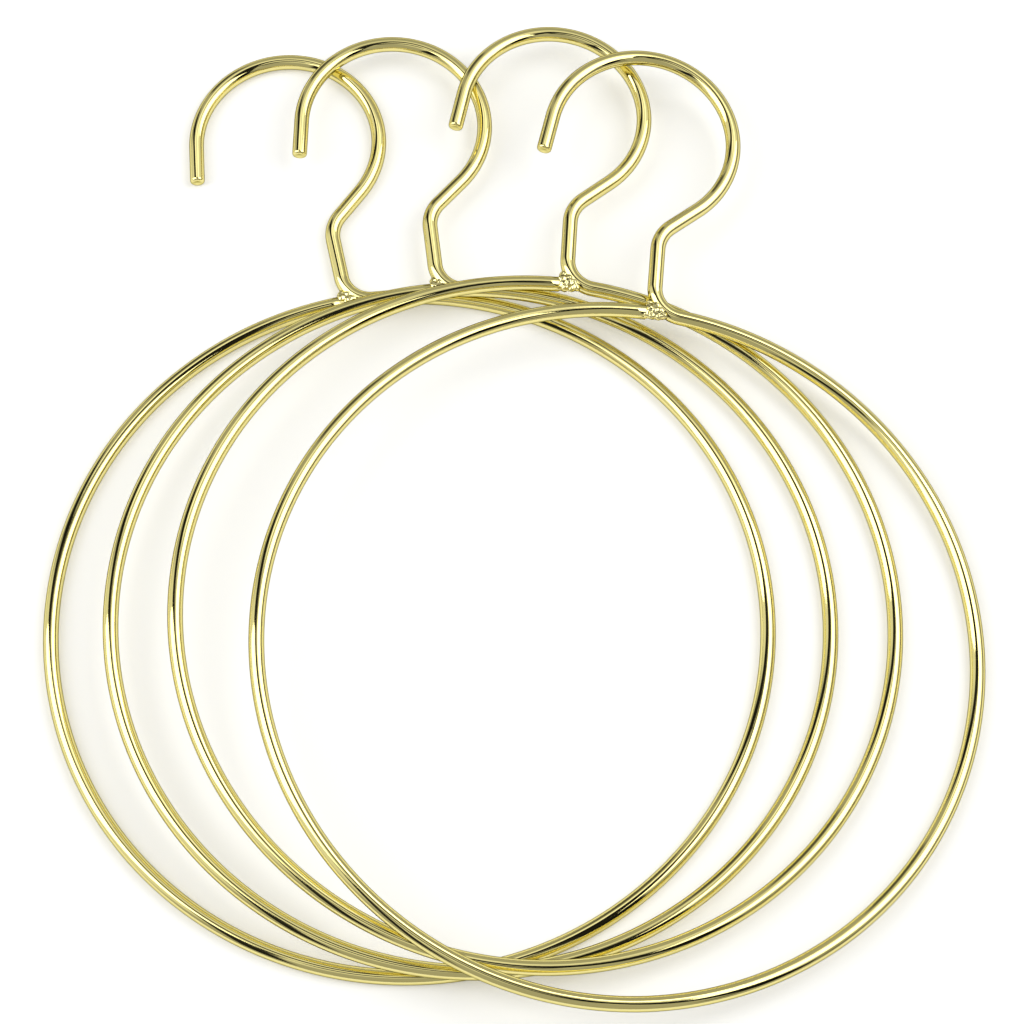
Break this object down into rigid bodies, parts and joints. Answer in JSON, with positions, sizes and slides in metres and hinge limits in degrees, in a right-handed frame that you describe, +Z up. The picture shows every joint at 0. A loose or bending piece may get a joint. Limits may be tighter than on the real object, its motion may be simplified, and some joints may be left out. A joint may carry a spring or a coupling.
{
  "type": "scarf hanger",
  "caption": "Set of closed ring scarf hangers bent from round gold plated wire, each with a closet hook, laid flat in an overlapping fan.",
  "frame": {"origin": "on the table, under the middle of the fan's outline", "axes": "+X across the fan, +Y along the hangers towards their hooks, +Z up from the table"},
  "size_m": [0.2438, 0.2748, 0.024],
  "materials": {
    "plated_wire": "polished champagne gold plating over steel wire",
    "plated_weld": "lumpy weld bead under the same gold plating"
  },
  "bodies": {
    "hanger_1": {"hanger_1_wire": "plated_wire", "hanger_1_weld": "plated_weld"},
    "hanger_2": {"hanger_2_wire": "plated_wire", "hanger_2_weld": "plated_weld"},
    "hanger_3": {"hanger_3_wire": "plated_wire", "hanger_3_weld": "plated_weld"},
    "hanger_4": {"hanger_4_wire": "plated_wire", "hanger_4_weld": "plated_weld"}
  },
  "joints": [
    {"name": "lift_hanger_2", "type": "slide", "parent": "hanger_1", "child": "hanger_2", "axis": [0, 0, 1], "range_m": [0, 0.06]},
    {"name": "lift_hanger_3", "type": "slide", "parent": "hanger_2", "child": "hanger_3", "axis": [0, 0, 1], "range_m": [0, 0.06]},
    {"name": "lift_hanger_4", "type": "slide", "parent": "hanger_3", "child": "hanger_4", "axis": [0, 0, 1], "range_m": [0, 0.06]}
  ]
}
